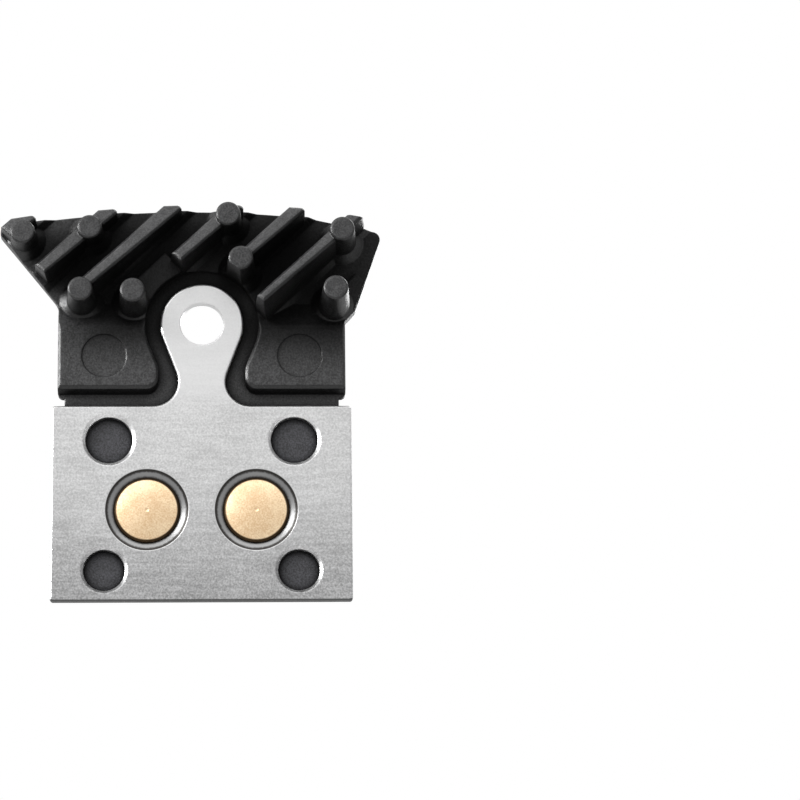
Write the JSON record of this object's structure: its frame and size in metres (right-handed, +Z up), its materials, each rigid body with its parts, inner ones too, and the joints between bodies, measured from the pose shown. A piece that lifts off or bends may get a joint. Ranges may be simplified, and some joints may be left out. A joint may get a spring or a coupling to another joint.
{
  "type": "bicycle disc brake pad",
  "caption": "Finned disc brake pad: steel back plate with a ring tab for the pad pin, black cast heat sink with slanted fins, and a riveted sintered friction block.",
  "frame": {"origin": "on the axis of the pad pin, in the seam between the steel back plate and the casting", "axes": "+Z up towards the fins, +X to the right as seen from the back, +Y along the pin axis towards the friction face"},
  "size_m": [0.0375, 0.0108, 0.0394],
  "materials": {
    "steel": "ground satin sheet",
    "black_casting": "satin black coat on a die casting",
    "plated_carrier": "thin copper plating",
    "sintered_metal": "speckled sintered metal",
    "brass_rivet": "satin"
  },
  "bodies": {
    "root": {"back_plate": "steel", "heat_sink": "black_casting", "friction_carrier": "plated_carrier", "friction_block": "sintered_metal", "rivets": "brass_rivet"}
  },
  "joints": []
}
